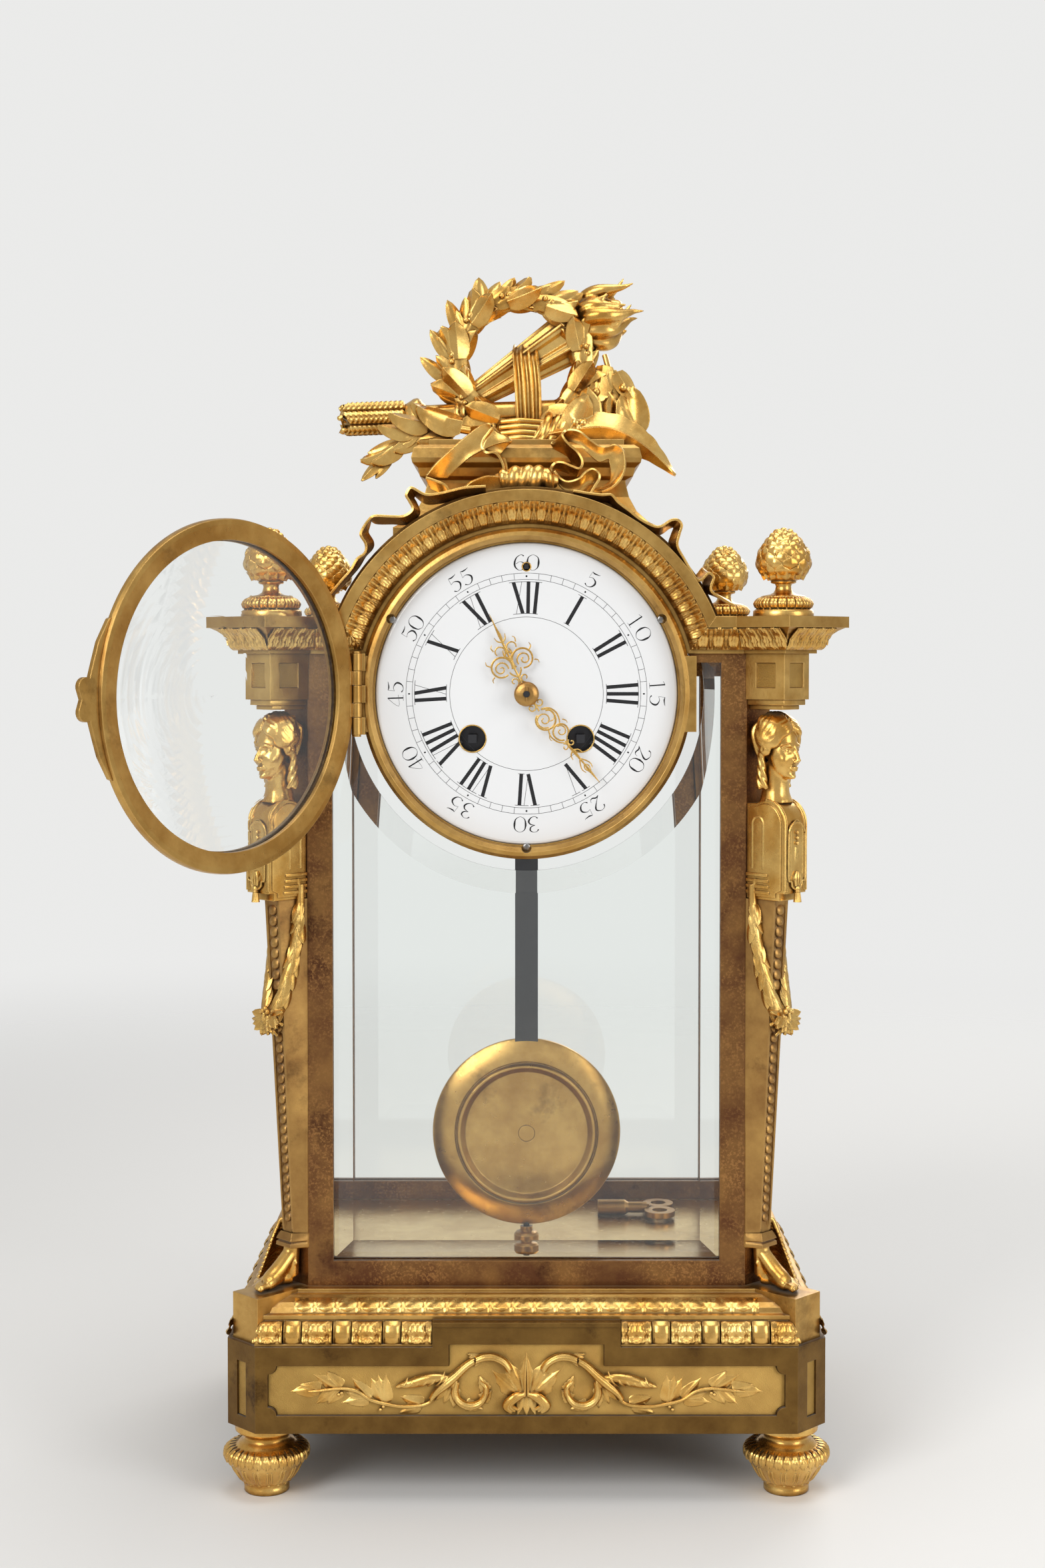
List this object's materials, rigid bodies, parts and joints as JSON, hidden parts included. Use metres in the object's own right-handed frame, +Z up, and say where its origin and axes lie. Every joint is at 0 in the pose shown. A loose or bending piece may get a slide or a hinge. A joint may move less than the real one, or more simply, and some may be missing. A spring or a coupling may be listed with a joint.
{
  "type": "table clock",
  "caption": "Glazed gilt bronze table clock with two corner herms, an arched enamel dial with its bezel door open, a pendulum, and a wreath, quiver and torch on top.",
  "frame": {"origin": "middle of the four feet, on the table", "axes": "+Z up, the dial faces -Y, +X to the right as seen from the front"},
  "size_m": [0.2826, 0.2835, 0.4945],
  "materials": {
    "gilt_bronze": "fire-gilt, burnished on the high parts",
    "matt_bronze": "gilt, matt and worn, brown in the recesses",
    "lacquered_brass": "lacquered",
    "bell_metal": "polished",
    "blued_steel": "dark polished steel",
    "enamel": "glossy white enamel with black numerals",
    "case_glass": "clear, bevelled"
  },
  "bodies": {
    "case": {"feet": "gilt_bronze", "foot_nuts": "matt_bronze", "plinth": "matt_bronze", "frieze_ornament": "gilt_bronze", "base_mouldings": "gilt_bronze", "corner_blocks": "matt_bronze", "case_floor": "lacquered_brass", "front_frame": "matt_bronze", "front_glass": "case_glass", "side_frames": "matt_bronze", "side_glasses": "case_glass", "rear_hinge_pins": "gilt_bronze", "entablature": "gilt_bronze", "arch_moulding": "gilt_bronze", "roof": "matt_bronze", "herms": "gilt_bronze", "herm_heads": "gilt_bronze", "herm_feet": "gilt_bronze", "garlands": "gilt_bronze", "finials": "gilt_bronze", "pedestal": "gilt_bronze", "wreath": "gilt_bronze", "quiver": "gilt_bronze", "torch": "gilt_bronze", "cloth_knot": "gilt_bronze", "laurel_branches": "gilt_bronze", "ribbon": "gilt_bronze", "dial": "enamel", "dial_screws": "blued_steel", "bezel_ring": "gilt_bronze", "bezel_hinge_pin": "gilt_bronze", "movement_frame": "lacquered_brass", "movement_straps": "lacquered_brass", "suspension_cock": "lacquered_brass", "bell": "bell_metal", "winding_key": "matt_bronze"},
    "bezel_door": {"door_rim": "gilt_bronze", "door_glass": "case_glass", "thumb_tab": "gilt_bronze"},
    "rear_door": {"rear_door_frame": "gilt_bronze", "rear_glass": "case_glass"},
    "rear_latch": {"rear_door_knob": "gilt_bronze"},
    "minute_work": {"minute_hand": "gilt_bronze", "hand_collet": "matt_bronze", "centre_arbor": "blued_steel"},
    "hour_work": {"hour_hand": "gilt_bronze", "hour_wheel": "lacquered_brass"},
    "motion_work": {"motion_wheel": "lacquered_brass"},
    "intermediate": {"intermediate_wheel": "lacquered_brass"},
    "going_barrel": {"going_barrel": "lacquered_brass"},
    "strike_barrel": {"strike_barrel": "lacquered_brass"},
    "winding_left": {"winding_arbor_left": "blued_steel"},
    "winding_right": {"winding_arbor_right": "blued_steel"},
    "escape": {"escape_wheel": "lacquered_brass"},
    "anchor": {"pallets": "blued_steel"},
    "pendulum": {"pendulum_rod": "blued_steel", "pendulum_bob": "gilt_bronze"},
    "rating_nut": {"rating_nut": "gilt_bronze"},
    "regulator": {"regulating_arbor": "blued_steel"},
    "hammer": {"hammer": "blued_steel"}
  },
  "joints": [
    {"name": "bezel_hinge", "type": "hinge", "parent": "case", "child": "bezel_door", "pos_m": [-0.067, -0.078, 0.318], "axis": [0, 0, 1], "range_deg": [-1.5, 127]},
    {"name": "rear_door_hinge", "type": "hinge", "parent": "case", "child": "rear_door", "pos_m": [0.09, 0.0716, 0.207], "axis": [0, 0, -1], "range_deg": [0, 110]},
    {"name": "rear_latch_turn", "type": "hinge", "parent": "rear_door", "child": "rear_latch", "pos_m": [-0.0847, 0.07, 0.2071], "axis": [0, 1, 0], "range_deg": [0, 90]},
    {"name": "minute_spin", "type": "hinge", "parent": "case", "child": "minute_work", "pos_m": [0, -0.07, 0.318], "axis": [0, 1, 0], "continuous": true},
    {"name": "hour_spin", "type": "hinge", "parent": "case", "child": "hour_work", "pos_m": [0, -0.07, 0.318], "axis": [0, 1, 0], "continuous": true},
    {"name": "motion_spin", "type": "hinge", "parent": "case", "child": "motion_work", "pos_m": [0, -0.062, 0.306], "axis": [0, 1, 0], "continuous": true},
    {"name": "intermediate_spin", "type": "hinge", "parent": "case", "child": "intermediate", "pos_m": [0.01616, -0.045, 0.32257], "axis": [0, 1, 0], "continuous": true},
    {"name": "going_barrel_spin", "type": "hinge", "parent": "case", "child": "going_barrel", "pos_m": [0.02145, -0.045, 0.3002], "axis": [0, 1, 0], "continuous": true},
    {"name": "strike_barrel_spin", "type": "hinge", "parent": "case", "child": "strike_barrel", "pos_m": [-0.02145, -0.045, 0.3002], "axis": [0, 1, 0], "continuous": true},
    {"name": "winding_left_turn", "type": "hinge", "parent": "case", "child": "winding_left", "pos_m": [-0.02145, -0.06, 0.3002], "axis": [0, 1, 0], "continuous": true},
    {"name": "winding_right_turn", "type": "hinge", "parent": "case", "child": "winding_right", "pos_m": [0.02145, -0.06, 0.3002], "axis": [0, 1, 0], "continuous": true},
    {"name": "escape_spin", "type": "hinge", "parent": "case", "child": "escape", "pos_m": [-0.009, -0.035, 0.3288], "axis": [0, 1, 0], "continuous": true},
    {"name": "pendulum_swing", "type": "hinge", "parent": "case", "child": "pendulum", "pos_m": [0, -0.0225, 0.334], "axis": [0, 1, 0], "range_deg": [-4, 4]},
    {"name": "anchor_rock", "type": "hinge", "parent": "case", "child": "anchor", "pos_m": [0, -0.03, 0.334], "axis": [0, 1, 0], "range_deg": [-4, 4]},
    {"name": "rating_nut_turn", "type": "hinge", "parent": "pendulum", "child": "rating_nut", "pos_m": [0, -0.0225, 0.0885], "axis": [0, 0, 1], "continuous": true},
    {"name": "regulator_turn", "type": "hinge", "parent": "case", "child": "regulator", "pos_m": [0, -0.05, 0.3684], "axis": [0, 1, 0], "continuous": true},
    {"name": "hammer_lift", "type": "hinge", "parent": "case", "child": "hammer", "pos_m": [0.038, -0.02, 0.306], "axis": [0, 1, 0], "range_deg": [0, 20], "stiffness_Nm_per_rad": 0.03, "springref_deg": -8.59}
  ],
  "couplings": [
    {"joint": "hour_spin", "follows": "minute_spin", "ratio": 0.083333},
    {"joint": "motion_spin", "follows": "minute_spin", "ratio": -0.33333},
    {"joint": "intermediate_spin", "follows": "minute_spin", "ratio": -0.16667},
    {"joint": "going_barrel_spin", "follows": "minute_spin", "ratio": 0.027778},
    {"joint": "anchor_rock", "follows": "pendulum_swing", "ratio": 1}
  ]
}
